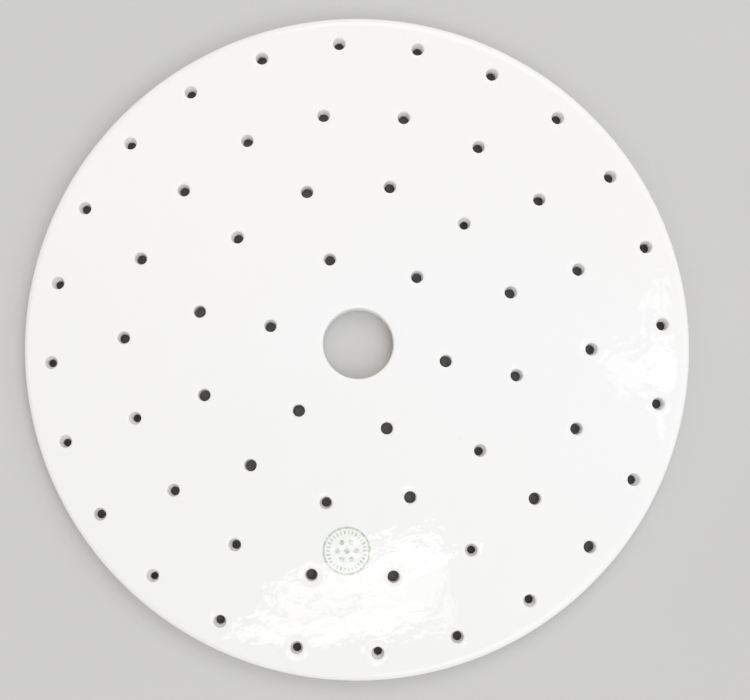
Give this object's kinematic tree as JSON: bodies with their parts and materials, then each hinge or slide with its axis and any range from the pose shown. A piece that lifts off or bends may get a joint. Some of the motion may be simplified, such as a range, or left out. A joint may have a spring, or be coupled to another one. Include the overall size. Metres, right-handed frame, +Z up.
{
  "type": "desiccator plate",
  "caption": "Round flat glazed porcelain plate with a large centre hole and concentric rings of small round holes, resting inside a laboratory desiccator.",
  "frame": {"origin": "centre of the flat underside, on the plate's axis", "axes": "+Z up through the plate, towards the glazed top face; +X through the centre of one hole of the innermost ring"},
  "size_m": [0.19, 0.19, 0.0065],
  "materials": {
    "glazed_porcelain": "glossy warm-white glaze on the top face, rim and hole mouths; bare matt biscuit underneath"
  },
  "bodies": {
    "root": {"desiccator_plate": "glazed_porcelain"}
  },
  "joints": []
}
